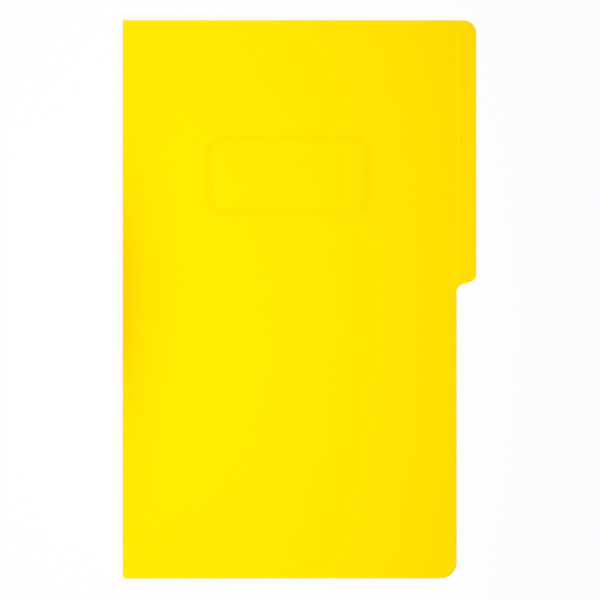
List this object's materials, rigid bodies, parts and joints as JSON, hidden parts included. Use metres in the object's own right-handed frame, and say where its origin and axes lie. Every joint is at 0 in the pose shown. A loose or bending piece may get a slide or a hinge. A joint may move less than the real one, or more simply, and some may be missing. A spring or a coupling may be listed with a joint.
{
  "type": "pressboard fastener folder",
  "caption": "Flat legal-size pressboard file folder with a scored spine, a half-cut tab, a pressed label frame and a steel prong fastener with locking compressor inside.",
  "frame": {"origin": "middle of the closed folder's outline, tab included, on the surface that its rear cover lies on", "axes": "+X from the spine to the tab, +Y up along the spine as the front is read, +Z out of the front cover"},
  "size_m": [0.2372, 0.3746, 0.008],
  "materials": {
    "cover_board": "satin",
    "patch_board": "matte",
    "tinplate": "satin"
  },
  "bodies": {
    "rear": {"rear_cover": "cover_board", "fastener_patch": "patch_board", "fastener_base": "tinplate", "compressor_bar": "tinplate"},
    "spine": {"spine_panel": "cover_board"},
    "front": {"front_cover": "cover_board"},
    "upper_prong": {"prong_upper": "tinplate"},
    "lower_prong": {"prong_lower": "tinplate"},
    "upper_slide": {"lock_slide_upper": "tinplate"},
    "lower_slide": {"lock_slide_lower": "tinplate"}
  },
  "joints": [
    {"name": "spine_fold", "type": "hinge", "parent": "rear", "child": "spine", "pos_m": [-0.1186, 0, 0], "axis": [0, -1, 0], "range_deg": [0, 90]},
    {"name": "cover_fold", "type": "hinge", "parent": "spine", "child": "front", "pos_m": [-0.1186, 0, 0.00802], "axis": [0, -1, 0], "range_deg": [0, 91.65]},
    {"name": "upper_prong_bend", "type": "hinge", "parent": "rear", "child": "upper_prong", "pos_m": [-0.09856, 0.05295, 0.00374], "axis": [-1, 0, 0], "range_deg": [0, 90]},
    {"name": "lower_prong_bend", "type": "hinge", "parent": "rear", "child": "lower_prong", "pos_m": [-0.09856, -0.02735, 0.00374], "axis": [1, 0, 0], "range_deg": [0, 90]},
    {"name": "upper_slide_lock", "type": "slide", "parent": "rear", "child": "upper_slide", "axis": [0, 1, 0], "range_m": [0, 0.024]},
    {"name": "lower_slide_lock", "type": "slide", "parent": "rear", "child": "lower_slide", "axis": [0, -1, 0], "range_m": [0, 0.024]}
  ],
  "couplings": [
    {"joint": "spine_fold", "follows": "cover_fold", "ratio": 0.98201},
    {"joint": "upper_prong_bend", "follows": "cover_fold", "ratio": 0.98201},
    {"joint": "lower_prong_bend", "follows": "cover_fold", "ratio": 0.98201}
  ]
}
